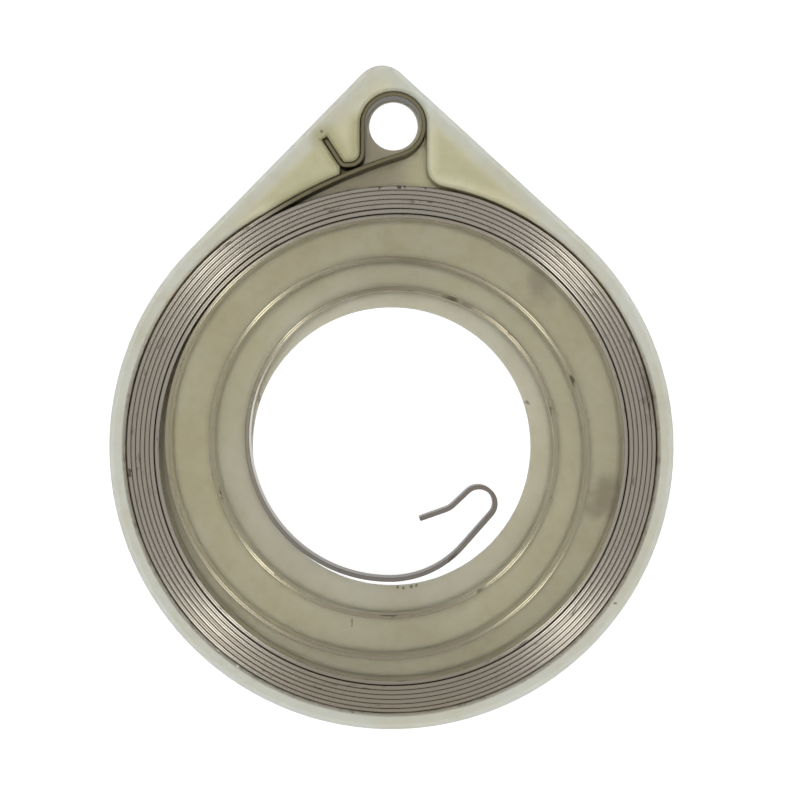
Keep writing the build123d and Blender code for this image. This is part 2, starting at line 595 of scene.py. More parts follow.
    def short_of(self, normal: Vector, reach: float) -> Socket:
        """How far a place lies on the near side of a line, seen in plan.

        Args:
            normal: Unit vector square to the line.
            reach: Distance of the line from the origin.

        Returns:
            The distance's socket, negative past the line.
        """
        node = self.add("ShaderNodeVectorMath", operation="DOT_PRODUCT")
        self.feed(node.inputs[0], self.place)
        node.inputs[1].default_value = (normal.x, normal.y, 0)
        return self.reckon(Sum.SUBTRACT, reach, node.outputs["Value"])

    def from_segment(self, start: Vector, end: Vector) -> Socket:
        """How far a place is from a straight piece of a line, seen in plan.

        Args:
            start: Where the piece starts.
            end: Where it ends.

        Returns:
            The distance's socket.
        """
        run = end - start
        unit = (run.x / run.length, run.y / run.length, 0)
        along = self.add("ShaderNodeVectorMath", operation="DOT_PRODUCT")
        self.feed(along.inputs[0], self.place)
        along.inputs[1].default_value = unit
        gone = self.reckon(Sum.SUBTRACT, along.outputs["Value"], start.dot(run) / run.length)
        gone = self.reckon(Sum.LEAST, self.reckon(Sum.GREATEST, gone, 0.0), run.length)
        step = self.add("ShaderNodeVectorMath", operation="SCALE")
        step.inputs[0].default_value = unit
        self.feed(step.inputs["Scale"], gone)
        nearest = self.add("ShaderNodeVectorMath", operation="ADD")
        self.feed(nearest.inputs[0], step.outputs[0])
        nearest.inputs[1].default_value = (start.x, start.y, 0)
        node = self.add("ShaderNodeVectorMath", operation="DISTANCE")
        self.feed(node.inputs[0], self.in_plan())
        self.feed(node.inputs[1], nearest.outputs[0])
        return node.outputs["Value"]

    def height(self) -> Socket:
        """How high a place is above the cassette's back.

        Returns:
            The height's socket.
        """
        node = self.add("ShaderNodeSeparateXYZ")
        self.feed(node.inputs[0], self.place)
        return node.outputs["Z"]

    def bump(self, height: Socket, depth: float) -> None:
        """Give the surface a fine relief.

        Args:
            height: Relief, 0 to 1.
            depth: How deep it is, in metres.
        """
        node = self.add("ShaderNodeBump")
        self.feed(node.inputs["Height"], height)
        node.inputs["Strength"].default_value = 1.0
        node.inputs["Distance"].default_value = depth
        self.tree.links.new(node.outputs[0], self.shader.inputs["Normal"])


class Dirt(Enum):
    """Kinds of mark on the part."""

    SMUDGE = "smudge"
    SPECK = "speck"
    CHIP_AND_GLINT = "chip"


@dataclass(frozen=True)
class Mark:
    """One mark on the part.

    Args:
        kind: What it is.
        x: Where it is across, in metres.
        y: Where it is up the part, in metres.
        height: How high it is above the back.
        radius: How far it spreads.
        strength: How much of it shows, 0 to 1.
        stretch: How many times longer it is than wide.
    """

    kind: Dirt
    x: float
    y: float
    height: float
    radius: float
    strength: float
    stretch: float = 1.0

    def lay(self, bench: Bench, colour: Socket, tone: Colour) -> Socket:
        """Lay the mark on a surface.

        Args:
            bench: Where the material is made.
            colour: The colour so far.
            tone: The mark's own colour.

        Returns:
            The colour's socket.
        """
        away = bench.distance((self.x, self.y, self.height), self.stretch)
        ragged = 0.35 * self.radius
        away = bench.wander(away, bench.noise(bench.place, self.radius), ragged)
        core = self.radius * (0.1 if self.kind is Dirt.SMUDGE else 0.6)
        amount = bench.slide(away, core, self.radius, self.strength, 0.0)
        return bench.lay(Blend.COVER, amount, colour, tone)


@dataclass(frozen=True)
class Nylon:
    """Natural nylon, gone a little yellow: pale where it is thick and duller on the thin floor.

    Args:
        land: Colour of the thick lands.
        rim: Colour of the side wall and of the skin near the outline.
        outline: Colour of the outermost edge, made paler as painted light against the shade of its rounded
            slope.
        lip: Colour of the side wall's inner lip, paler than the rim as painted light against the shade of its
            chamfer.
        lip_low_shade: Colour of that lip beside and below the hub, darker as painted shade.
        floor: Colour of the floor.
        floor_by_pack: Colour of the floor beside the wound turns, darker as painted shade.
        floor_by_hub: Colour of the floor beside the hub hole, paler as painted light.
        thin_skin: Colour of the lands where a hollow lies behind them.
        by_steel: Colour of the lands along the hook's slot, where dark steel shows through.
        pocket: Colour of the floor of the hook pocket, darker as painted shade.
        pocket_by_wall: Colour of that floor near the thick land, which passes light on to it.
        grime: Colour of smudges and specks.
        chip_and_glint: Colour of chipped edges on the lip, which also stand for the lamps' glints there as
            painted highlights.
        roughness: Roughness of the moulded skin.
        glow: Share of light that travels through the nylon before it comes out.
        glow_depth: How far it travels, for red, green and blue.
        marks: Marks on the surface.
    """

    land: Colour = paint(201, 198, 169)
    rim: Colour = paint(195, 196, 185)
    outline: Colour = paint(222, 224, 215)
    lip: Colour = paint(208, 205, 190)
    lip_low_shade: Colour = paint(168, 163, 149)
    floor: Colour = paint(171, 167, 144)
    floor_by_pack: Colour = paint(165, 160, 137)
    floor_by_hub: Colour = paint(181, 178, 161)
    thin_skin: Colour = paint(186, 183, 150)
    by_steel: Colour = paint(160, 155, 116)
    pocket: Colour = paint(158, 151, 129)
    pocket_by_wall: Colour = paint(190, 185, 154)
    grime: Colour = paint(92, 84, 66)
    chip_and_glint: Colour = paint(228, 227, 216)
    roughness: float = 0.36
    glow: float = 0.8
    glow_depth: Triple = (3.4 * MM, 3.0 * MM, 2.2 * MM)
    marks: tuple[Mark, ...] = (
        Mark(Dirt.SMUDGE, 28.2 * MM, -7.2 * MM, 1.25 * MM, 3.8 * MM, 0.48),
        Mark(Dirt.SMUDGE, 19.8 * MM, 22.9 * MM, 1.25 * MM, 4.2 * MM, 0.42),
        Mark(Dirt.SPECK, -5.3 * MM, -23.5 * MM, 1.25 * MM, 0.16 * MM, 0.7, 4.5),
        Mark(Dirt.SPECK, 0.8 * MM, -18.8 * MM, 1.25 * MM, 0.26 * MM, 0.8),
        Mark(Dirt.SPECK, 1.6 * MM, -18.95 * MM, 1.25 * MM, 0.22 * MM, 0.8),
        Mark(Dirt.SPECK, 2.6 * MM, -18.75 * MM, 1.25 * MM, 0.24 * MM, 0.8),
        Mark(Dirt.SPECK, 3.3 * MM, -18.6 * MM, 1.25 * MM, 0.24 * MM, 0.8),
        Mark(Dirt.SPECK, 18.1 * MM, 5.8 * MM, 1.25 * MM, 0.36 * MM, 0.7),
        Mark(Dirt.SPECK, -9.2 * MM, 41.4 * MM, 8.7 * MM, 0.28 * MM, 0.8),
        Mark(Dirt.SPECK, 29.4 * MM, -20.5 * MM, 8.4 * MM, 0.35 * MM, 0.8),
        Mark(Dirt.SPECK, -17.6 * MM, 6.2 * MM, 1.25 * MM, 0.30 * MM, 0.6, 2.0),
        # Two pale marks on the lip: chipped edges, and painted highlights where the lamps glint.
        Mark(Dirt.CHIP_AND_GLINT, -22.7 * MM, -26.6 * MM, 8.5 * MM, 0.45 * MM, 0.9),
        Mark(Dirt.CHIP_AND_GLINT, -20.1 * MM, -28.6 * MM, 8.5 * MM, 0.40 * MM, 0.9),
    )

    def material(self, cassette: "Cassette") -> bpy.types.Material:
        """Mix the nylon for the cassette, whose zones lie at its own sizes.

        Args:
            cassette: The cassette that is dressed.

        Returns:
            The material.
        """
        bench = Bench("natural_nylon")
        sizes = cassette.sizes
        floor = self.floor_colour(bench, sizes, cassette.path)
        top = self.land_colour(bench, cassette)
        height = bench.height()
        foot, raised = sizes.floor_thickness * 1.3, sizes.floor_thickness * 3.5
        soft = 0.4 * MM
        in_wall = bench.slide(self.to_outline(bench, cassette), sizes.side_wall, sizes.side_wall - soft)
        level = bench.reckon(Sum.GREATEST, bench.slide(height, foot, raised), in_wall)
        colour = bench.lay(Blend.COVER, level, floor, top)
        colour = self.mottle(bench, colour)
        for mark in self.marks:
            colour = mark.lay(bench, colour, self.chip_and_glint if mark.kind is Dirt.CHIP_AND_GLINT else self.grime)
        bench.feed(bench.shader.inputs["Base Color"], colour)
        self.set_skin(bench)
        return bench.material

    def floor_colour(self, bench: Bench, sizes: CassetteSizes, path: StripPath) -> Socket:
        """Colour the floor with painted light and shade: paler by the hub hole, darker by the wound turns and
        in the hook pocket.

        Args:
            bench: Where the material is made.
            sizes: Sizes of the cassette.
            path: The strip's path.

        Returns:
            The colour's socket.
        """
        pale_band, glow_band = 4.5 * MM, 5.0 * MM
        pack_far, pack_near, under_pack = 7.5 * MM, 3.5 * MM, 1.5 * MM
        # Painted light by the hub hole and painted shade towards the wound turns.
        hub = bench.wander(bench.radius(HUB), bench.noise(bench.in_plan(), 14 * MM, 2.0), 1.2 * MM)
        inner = bench.slide(hub, sizes.hub_hole_radius, sizes.hub_hole_radius + pale_band)
        colour = bench.lay(Blend.COVER, inner, self.floor_by_hub, self.floor)
        coil_radius = path.outer_turn_radius - sum(path.gaps) - len(path.gaps) * path.thickness
        outer = bench.slide(hub, coil_radius - pack_far, coil_radius - pack_near)
        colour = bench.lay(Blend.COVER, outer, colour, self.floor_by_pack)
        # Painted shade on the pocket floor, paler again by the land that passes light on to it.
        to_wall = bench.short_of(TO_RIGHT, sizes.loop_centre.x + path.loop_radius + path.half_slot)
        by_wall = bench.slide(to_wall, glow_band, 0.0)
        pocket = bench.lay(Blend.COVER, by_wall, self.pocket, self.pocket_by_wall)
        beyond = bench.slide(hub, sizes.chamber_radius - under_pack, sizes.chamber_radius)
        return bench.lay(Blend.COVER, beyond, colour, pocket)

    def to_flanks(self, bench: Bench, cassette: "Cassette") -> Socket:
        """Measure how far a place is inside the straight sides of the pointed end.

        Args:
            bench: Where the material is made.
            cassette: The cassette that is dressed.

        Returns:
            The distance's socket.
        """
        flanks = (cassette.right_flank_angle, cassette.left_flank_angle)
        right, left = (bench.short_of(ahead(angle), cassette.sizes.body_radius) for angle in flanks)
        top = bench.short_of(TO_POST, cad_box[1][1])
        return bench.reckon(Sum.LEAST, bench.reckon(Sum.LEAST, right, left), top)

    def in_point(self, bench: Bench, cassette: "Cassette") -> Socket:
        """Tell the pointed end, where the socket is 1, from the round body, where it is 0.

        Args:
            bench: Where the material is made.
            cassette: The cassette that is dressed.

        Returns:
            The share's socket.
        """
        shoulder = cassette.sizes.body_radius * math.sin(math.radians(cassette.right_flank_angle))
        below, above = 1.0 * MM, 3.0 * MM
        return bench.slide(bench.short_of(TO_POST, shoulder), below, -above)

    def to_outline(self, bench: Bench, cassette: "Cassette") -> Socket:
        """Measure how far a place is inside the cassette's outline, seen in plan.

        Args:
            bench: Where the material is made.
            cassette: The cassette that is dressed.

        Returns:
            The distance's socket.
        """
        in_point = self.in_point(bench, cassette)
        flank = bench.both(self.to_flanks(bench, cassette), in_point)
        body = bench.both(self.to_body(bench, cassette), bench.rest_of(in_point))
        return bench.reckon(Sum.ADD, flank, body)

    def to_body(self, bench: Bench, cassette: "Cassette") -> Socket:
        """How far a place is inside the round body's outline, seen in plan."""
        return bench.reckon(Sum.SUBTRACT, cassette.sizes.body_radius, bench.radius(HUB))

    def land_colour(self, bench: Bench, cassette: "Cassette") -> Socket:
        """Colour the top: greyer towards the outline, with painted light along the outermost edge, and duller
        over the hollows and beside the steel.

        Args:
            bench: Where the material is made.
            cassette: The cassette that is dressed.

        Returns:
            The colour's socket.
        """
        in_point = self.in_point(bench, cassette)
        thin, full = 0.6 * MM, 3.6 * MM
        thick = bench.both(bench.slide(self.to_flanks(bench, cassette), thin, full), in_point)
        colour = bench.lay(Blend.COVER, thick, self.rim, self.land)
        # Painted light: the outermost edge is made paler to offset the shade on its rounded slope.
        bright, plain = 0.2 * MM, 0.75 * MM
        edge_light_share = bench.slide(self.to_outline(bench, cassette), plain, bright)
        colour = bench.lay(Blend.COVER, edge_light_share, colour, self.outline)
        colour = self.with_lip(bench, cassette, colour)
        outside, inside = 0.6 * MM, 0.9 * MM
        for lines in cassette.hollows():
            depth = bench.reckon(Sum.SUBTRACT, bench.radius(lines.round_centre), lines.round_radius)
            for normal, line_reach in lines.sides:
                depth = bench.reckon(Sum.LEAST, depth, bench.short_of(normal, line_reach))
            shade = bench.both(bench.slide(depth, -outside, inside), in_point)
            colour = bench.lay(Blend.COVER, shade, colour, self.thin_skin)
        steel = cassette.path.half_slot
        near, far, strength = steel + 0.2 * MM, steel + 2.0 * MM, 0.75
        shade = bench.slide(self.to_hook(bench, cassette), near, far, strength, 0.0)
        return bench.lay(Blend.COVER, shade, colour, self.by_steel)

    def with_lip(self, bench: Bench, cassette: "Cassette", colour: Socket) -> Socket:
        """Colour the side wall's inner lip: pale by the pointed end as painted light, and from there down
        darker as painted shade, with dark specks of dirt.

        Args:
            bench: Where the material is made.
            cassette: The cassette that is dressed.
            colour: The colour so far.

        Returns:
            The colour's socket.
        """
        wide, narrow = 0.55 * MM, 0.25 * MM
        wall = cassette.sizes.side_wall
        in_lip = bench.slide(self.to_body(bench, cassette), wall - wide, wall - narrow)
        # Painted light and shade on the lip: paler above, darker from beside the hub down; the specks laid
        # over it are dirt.
        pale_from, shaded_to = 20 * MM, 6 * MM
        low = bench.slide(bench.short_of(TO_POST, 0.0), -pale_from, -shaded_to)
        lip = bench.lay(Blend.COVER, low, self.lip, self.lip_low_shade)
        dirt = bench.slide(bench.noise(bench.place, 1.3 * MM, 4.0, 0.7), 0.5, 0.68, 0.0, 0.6)
        lip = bench.lay(Blend.COVER, bench.both(dirt, low), lip, self.grime)
        in_round = bench.rest_of(self.in_point(bench, cassette))
        return bench.lay(Blend.COVER, bench.both(in_lip, in_round), colour, lip)

    def to_hook(self, bench: Bench, cassette: "Cassette") -> Socket:
        """Measure how far a place is from the lead and the tail, seen in plan.

        Args:
            bench: Where the material is made.
            cassette: The cassette that is dressed.

        Returns:
            The distance's socket.
        """
        path = cassette.path
        lead = bench.reckon(Sum.SUBTRACT, bench.radius(path.lead_centre), path.lead_radius)
        lead = bench.reckon(Sum.SIZE, lead, 0.0)
        too_far = 9.0 * MM
        past_loop = bench.slide(bench.short_of(TO_RIGHT, path.leg_top.x), 0.0, -2.0 * MM, 0.0, too_far)
        lead_start = path.lead_centre + ahead(path.lead_angle) * path.lead_radius
        past_start = bench.slide(bench.short_of(TO_POST, lead_start.y), -5.0 * MM, 3.0 * MM, 0.0, too_far)
        nearest = bench.reckon(Sum.ADD, bench.reckon(Sum.ADD, lead, past_loop), past_start)
        corners = [path.tail.stations[index].place for index in path.tail_corners()]
        for start, end in zip(corners, corners[1:]):
            nearest = bench.reckon(Sum.LEAST, nearest, bench.from_segment(start, end))
        return nearest

    def mottle(self, bench: Bench, colour: Socket) -> Socket:
        """Break the colour up with soft clouds and fine grain.

        Args:
            bench: Where the material is made.
            colour: The colour so far.

        Returns:
            The colour's socket.
        """
        clouds = bench.noise(bench.place, 11 * MM, 3.0, 0.55)
        cloudy = bench.slide(clouds, 0.35, 0.75, 0.0, 0.45)
        colour = bench.lay(Blend.DARKEN, cloudy, colour, paint(238, 232, 214))
        grain = bench.noise(bench.place, 1.6 * MM, 4.0, 0.6)
        grainy = bench.slide(grain, 0.4, 0.8, 0.0, 0.5)
        return bench.lay(Blend.DARKEN, grainy, colour, paint(240, 238, 228))

    def set_skin(self, bench: Bench) -> None:
        """Set how the moulded skin shines and how deep light sinks in.

        Args:
            bench: Where the material is made.
        """
        shader = bench.shader
        grain = bench.noise(bench.place, 0.9 * MM, 4.0, 0.6)
        rough = bench.slide(grain, *CLOUD_RANGE, self.roughness - 0.06, self.roughness + 0.08)
        bench.feed(shader.inputs["Roughness"], rough)
        shader.inputs["IOR"].default_value = 1.53
        shader.inputs["Subsurface Weight"].default_value = self.glow
        shader.inputs["Subsurface Radius"].default_value = self.glow_depth
        shader.inputs["Subsurface Scale"].default_value = 1.0
        bench.bump(bench.noise(bench.place, 0.6 * MM, 3.0, 0.55), 0.008 * MM)


@dataclass(frozen=True)
class StripSpot:
    """Where a point of the steel lies on the flat strip, as sockets.

    Args:
        along: Its distance from the tail's end.
        across: Its distance from the middle of the thickness, to the outside of the coil.
        rolled: The place itself, drawn out along the strip as rolling marks are.
        on_edge: 1 on the crowned edges and 0 on the flat faces.
        loose: 0 on the wound turns and 1 on the loose ones.
        film: Cloudy noise that the films follow.
    """

    along: Socket
    across: Socket
    rolled: Socket
    on_edge: Socket
    loose: Socket
    film: Socket


@dataclass(frozen=True)
class SpringSteel:
    """Hardened strip steel, gone brown at both hooks, with dirt and painted shade along its edges.

    Args:
        edge: Colour along the middle of the crowned edges.
        corner: Colour beside it, on the crown's flanks: painted shade.
        face: Colour of the flat faces.
        loose_face: Colour of the flat faces of the loose turns, brighter than steel is as painted light, so
            that they mirror the shaded floor as bright as it looks.
        loose_edge: Colour of the crowned edges of the loose turns.
        outer_hook: Colour of the film on the tail, the loop and the lead.
        hook_face_shade: Tint that darkens the flat faces of the outer hook, which lie in the dark slot:
            painted shade.
        inner_hook: Colour of the film on the inner hook.
        stain: Colour of the brown film in patches, also laid as painted shade over the bottom of the wound
            turns.
        grime: Colour of dried oil and dirt.
        roughness: Roughness of the clean steel.
        outer_fade: Stretch over which the film on the outer hook fades out.
        inner_fade: Stretch over which the film on the inner hook fades out.
        inner_run: Length before the inner hook that its film covers too.
        rolling: Factors along, up and across the strip that draw out the rolling marks.
        low_pack_shade: Patch at the bottom of the wound turns, darkened as painted shade.
        smears: Dark marks on the upper edge.
    """

    edge: Colour = paint(143, 138, 128)
    corner: Colour = paint(130, 124, 112)
    face: Colour = paint(212, 206, 190)
    loose_face: Colour = paint(240, 236, 218)
    loose_edge: Colour = paint(145, 139, 118)
    outer_hook: Colour = paint(93, 86, 60)
    hook_face_shade: Colour = paint(188, 182, 160)
    inner_hook: Colour = paint(98, 93, 90)
    stain: Colour = paint(126, 117, 102)
    grime: Colour = paint(62, 55, 42)
    roughness: float = 0.16
    outer_fade: float = 9.0 * MM
    inner_fade: float = 56 * MM
    inner_run: float = 14 * MM
    rolling: Triple = (0.22, 1, 1)
    low_pack_shade: Mark = Mark(Dirt.SMUDGE, 0.5 * MM, -34 * MM, 7 * MM, 21 * MM, 0.6)
    smears: tuple[Mark, ...] = (
        Mark(Dirt.SMUDGE, -1.0 * MM, 21.5 * MM, 8.2 * MM, 13 * MM, 0.5, 0.6),
        Mark(Dirt.SMUDGE, 7.2 * MM, 19.5 * MM, 8.2 * MM, 1.8 * MM, 0.75, 0.6),
        Mark(Dirt.SMUDGE, 9.6 * MM, 18.5 * MM, 8.2 * MM, 1.3 * MM, 0.4, 0.6),
        Mark(Dirt.SMUDGE, 34.2 * MM, 9.5 * MM, 8.2 * MM, 2.2 * MM, 0.5, 2.8),
        Mark(Dirt.SPECK, 23.7 * MM, 8.6 * MM, 8.2 * MM, 0.55 * MM, 0.8, 2.0),
        Mark(Dirt.SPECK, 20.7 * MM, 4.4 * MM, 8.2 * MM, 0.50 * MM, 0.6, 2.5),
        Mark(Dirt.SPECK, -22.2 * MM, -5.6 * MM, 8.2 * MM, 0.55 * MM, 0.9, 2.6),
        Mark(Dirt.SPECK, -1.5 * MM, 34.25 * MM, 8.2 * MM, 0.34 * MM, 0.9),
        Mark(Dirt.SPECK, 1.0 * MM, 34.3 * MM, 8.2 * MM, 0.36 * MM, 0.9),
        Mark(Dirt.SPECK, 1.7 * MM, 34.25 * MM, 8.2 * MM, 0.26 * MM, 0.9),
        Mark(Dirt.SPECK, 4.5 * MM, 34.05 * MM, 8.2 * MM, 0.26 * MM, 0.8),
        Mark(Dirt.SPECK, 34.2 * MM, 8.8 * MM, 8.2 * MM, 0.45 * MM, 0.8, 2.0),
        Mark(Dirt.SPECK, 32.4 * MM, 13.7 * MM, 8.2 * MM, 0.45 * MM, 0.8, 1.6),
        Mark(Dirt.SPECK, -34.4 * MM, -3.3 * MM, 8.2 * MM, 0.40 * MM, 0.8, 1.5),
    )

    def material(self, path: StripPath, width: float) -> bpy.types.Material:
        """Mix the steel.

        Args:
            path: The strip's path, which says how far the hooks reach.
            width: Width of the strip.

        Returns:
            The material.
        """
        bench = Bench("spring_steel")
        spot = self.spot(bench, path, width)
        colour = self.stained(bench, spot, self.clean(bench, spot))
        outer, inner = self.hook_films(bench, spot, path)
        colour = bench.lay(Blend.COVER, outer, colour, self.outer_hook)
        # Painted shade: the outer hook's flat faces lie deep in their slot and are darkened.
        in_slot_shade = bench.both(outer, bench.rest_of(spot.on_edge))
        colour = bench.lay(Blend.DARKEN, in_slot_shade, colour, self.hook_face_shade)
        colour = bench.lay(Blend.COVER, inner, colour, self.inner_hook)
        bench.feed(bench.shader.inputs["Base Color"], self.dirtied(bench, spot, path, colour))
        self.set_shine(bench, spot, bench.reckon(Sum.ADD, outer, inner))
        return bench.material

    def spot(self, bench: Bench, path: StripPath, width: float) -> StripSpot:
        """Work out where a point of the steel lies on the flat strip.

        Args:
            bench: Where the material is made.
            path: The strip's path.
            width: Width of the strip.

        Returns:
            The point's place on the strip.
        """
        flat = bench.add("ShaderNodeAttribute", attribute_name="on_strip").outputs["Vector"]
        split = bench.add("ShaderNodeSeparateXYZ")
        bench.feed(split.inputs[0], flat)
        along, up, across = split.outputs
        to_edge = bench.reckon(Sum.SUBTRACT, width / 2, bench.reckon(Sum.SIZE, up, 0.0))
        flat_from, crown_to = 0.22 * MM, 0.12 * MM
        half_change = 20 * MM
        rolled = bench.scaled(flat, self.rolling)
        return StripSpot(
            along=along,
            across=across,
            rolled=rolled,
            on_edge=bench.slide(to_edge, flat_from, crown_to),
            loose=bench.slide(along, path.loose_from - half_change, path.loose_from + half_change),
            film=bench.noise(rolled, 9 * MM, 4.0, 0.6),
        )

    def clean(self, bench: Bench, spot: StripSpot) -> Socket:
        """Colour the clean steel: the crowned edges, with painted shade on their flanks, and the flat faces,
        wound and loose, the loose ones made brighter as painted light.

        Args:
            bench: Where the material is made.
            spot: Where the point lies on the strip.

        Returns:
            The colour's socket.
        """
        off_middle = bench.reckon(Sum.SIZE, spot.across, 0.0)
        # Painted shade: each crown darkens from its middle out to its flanks.
        middle_to, corner_from = 0.12 * MM, 0.25 * MM
        flank_shade = bench.slide(off_middle, middle_to, corner_from)
        crown = bench.lay(Blend.COVER, flank_shade, self.edge, self.corner)
        crown = bench.lay(Blend.COVER, spot.loose, crown, self.loose_edge)
        # Painted light: the loose turns' faces are brighter than the wound ones.
        face = bench.lay(Blend.COVER, spot.loose, self.face, self.loose_face)
        return bench.lay(Blend.COVER, spot.on_edge, face, crown)

    def stained(self, bench: Bench, spot: StripSpot, colour: Socket) -> Socket:
        """Lay the brown film in patches, and the same brown as painted shade over the bottom of the wound
        turns.

        Args:
            bench: Where the material is made.
            spot: Where the point lies on the strip.
            colour: The colour so far.

        Returns:
            The colour's socket.
        """
        patches = bench.slide(spot.film, 0.42, 0.72, 0.0, 0.5)
        colour = bench.lay(Blend.COVER, patches, colour, self.stain)
        # Painted shade: the bottom of the wound turns, where no lamp glints, is darkened.
        patch = self.low_pack_shade
        away = bench.distance((patch.x, patch.y, patch.height))
        low_shade_share = bench.slide(away, patch.radius * 0.5, patch.radius, patch.strength, 0.0)
        return bench.lay(Blend.COVER, low_shade_share, colour, self.stain)

    def hook_films(self, bench: Bench, spot: StripSpot, path: StripPath) -> tuple[Socket, Socket]:
        """Measure how much film lies on each hook, a little worn off in patches.

        Args:
            bench: Where the material is made.
            spot: Where the point lies on the strip.
            path: The strip's path.

        Returns:
            The share of film on the outer hook and that on the inner hook.
        """
        worn = bench.slide(spot.film, 0.4, 0.65, 0.95, 0.78)
        outer_end = path.outer_hook_length
        outer = bench.slide(spot.along, outer_end - self.outer_fade, outer_end, 1.0, 0.0)
        inner_start = path.line[-1].along - path.inner_hook_length - self.inner_run
        inner = bench.slide(spot.along, inner_start - self.inner_fade, inner_start, 0.0, 1.0)
        return bench.both(outer, worn), bench.both(inner, worn)

    def dirtied(self, bench: Bench, spot: StripSpot, path: StripPath, colour: Socket) -> Socket:
        """Lay the smears, a dark speckled band on the outside of the first turn and the fine dirt.

        Args:
            bench: Where the material is made.
            spot: Where the point lies on the strip.
            path: The strip's path.
            colour: The colour so far.

        Returns:
            The colour's socket.
        """
        for smear in self.smears:
            colour = smear.lay(bench, colour, self.grime)
        first_end = path.outer_hook_length + 2 * math.pi * path.outer_turn_radius
        # A dark speckled band on the outer flank of the first turn, in the grime colour.
        first_turn_band = bench.slide(bench.noise(spot.rolled, 1.2 * MM, 3.0, 0.6), 0.36, 0.58, 0.25, 0.85)
        first_turn_band = bench.both(first_turn_band, bench.slide(spot.across, 0.10 * MM, 0.22 * MM))
        first_turn_band = bench.both(first_turn_band, bench.slide(spot.along, first_end - 6 * MM, first_end, 1.0, 0.0))
        colour = bench.lay(Blend.COVER, bench.both(first_turn_band, spot.on_edge), colour, self.grime)
        fine = bench.slide(bench.noise(spot.rolled, 0.8 * MM, 4.0, 0.7), 0.60, 0.72, 0.0, 0.75)
        return bench.lay(Blend.COVER, fine, colour, self.grime)

    def set_shine(self, bench: Bench, spot: StripSpot, hooks: Socket) -> None:
        """Set how the steel shines: bright on the loose turns and dull under the film of the hooks.

        Args:
            bench: Where the material is made.
            spot: Where the point lies on the strip.
            hooks: Share of film on both hooks.
        """
        shader = bench.shader
        full_film = 0.9
        bench.feed(shader.inputs["Metallic"], bench.slide(hooks, 0.0, full_film, 1.0, 0.6))
        rough = bench.slide(spot.film, 0.35, 0.7, self.roughness - 0.03, self.roughness + 0.08)
        rough = bench.reckon(Sum.SUBTRACT, rough, bench.reckon(Sum.MULTIPLY, spot.loose, 0.02))
        rough = bench.reckon(Sum.ADD, rough, bench.slide(hooks, 0.0, full_film, 0.0, 0.35))
        bench.feed(shader.inputs["Roughness"], rough)
        bench.bump(bench.noise(spot.rolled, 0.3 * MM, 3.0, 0.6), 0.003 * MM)


@dataclass(frozen=True)
class Hollow:
    """Lines that bound one hollow in the cassette's back.

    Args:
        sides: Straight sides, each a unit normal and its distance from the origin.
        round_centre: Middle of the round side.
        round_radius: Radius of the round side.
    """

    sides: tuple[tuple[Vector, float], ...]
    round_centre: Vector
    round_radius: float


@dataclass
class Cassette:
    """The moulded nylon housing, which keeps the shape of its solid.

    Args:
        sizes: Sizes of the cassette.
        path: The strip's path, which the hook pocket follows.
        edge_rounding: How far each moulded edge is rounded.
        rounding_steps: Faces across that rounding.
        sharp_angle: Least angle in degrees at which two faces meet in a moulded edge.
        flat_angle: Greatest angle in degrees at which faces still count as one flat face.
        weld_reach: Distance within which points of the solid's mesh are joined.
        finish: What it is made of.
    """

    sizes: CassetteSizes
    path: StripPath
    edge_rounding: float = 0.16 * MM
    rounding_steps: int = 3
    sharp_angle: float = 24
    flat_angle: float = 0.3
    weld_reach: float = 0.002 * MM
    finish: Nylon = field(default_factory=Nylon)

    def __post_init__(self) -> None:
        """Work out both flanks of the pointed end."""
        sizes = self.sizes
        loop = sizes.loop_centre
        loop_reach = sizes.body_radius - self.path.loop_radius - self.path.half_slot - sizes.loop_wall
        self.right_flank_angle = angle_of(loop) - math.degrees(math.acos(loop_reach / loop.length))
        end = self.path.tail.last.place
        tail_reach = sizes.body_radius - sizes.tail_wall
        self.left_flank_angle = angle_of(end) + math.degrees(math.acos(tail_reach / end.length))

    def hollows(self) -> list[Hollow]:
        """The hollows behind the lands to the right and left of the hook pocket.

        Returns:
            Both hollows.
        """
        sizes = self.sizes
        path = self.path
        pocket_right = sizes.loop_centre.x + path.loop_radius + path.half_slot
        reach = sizes.body_radius - sizes.flank_wall
        end = path.tail.last
        beside = ahead(end.heading + 90)
        beside_reach = end.place.dot(beside) + path.half_slot + sizes.inner_wall
        return [
            Hollow(
                (
                    (ahead(self.right_flank_angle), reach),
                    (-TO_RIGHT, -pocket_right - sizes.inner_wall),
                ),
                HUB,
                sizes.chamber_radius + sizes.inner_wall,
            ),
            Hollow(
                (
                    (ahead(self.left_flank_angle), reach),
                    (-beside, -beside_reach),
                ),
                path.lead_centre,
                path.lead_radius + path.half_slot + sizes.inner_wall,
            ),
        ]

    def build(self) -> bpy.types.Object:
        """Dress the cassette's solid.

        Returns:
            The dressed object.
        """
        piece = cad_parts["cassette"]
        piece.data.materials.clear()
        piece.data.materials.append(self.finish.material(self))
        self.soften(piece)
        return piece

    def soften(self, piece: bpy.types.Object) -> None:
        """Round every moulded edge a little.

        Args:
            piece: The cassette's object.
        """
        weld = piece.modifiers.new("weld", "WELD")
        weld.merge_threshold = self.weld_reach
        flat = piece.modifiers.new("flat_faces", "DECIMATE")
        flat.decimate_type = "DISSOLVE"
        flat.angle_limit = math.radians(self.flat_angle)
        rounding = piece.modifiers.new("rounding", "BEVEL")
        rounding.width = self.edge_rounding
        rounding.segments = self.rounding_steps
        rounding.limit_method = "ANGLE"
        rounding.angle_limit = math.radians(self.sharp_angle)
        rounding.harden_normals = True
        piece.data.shade_smooth()


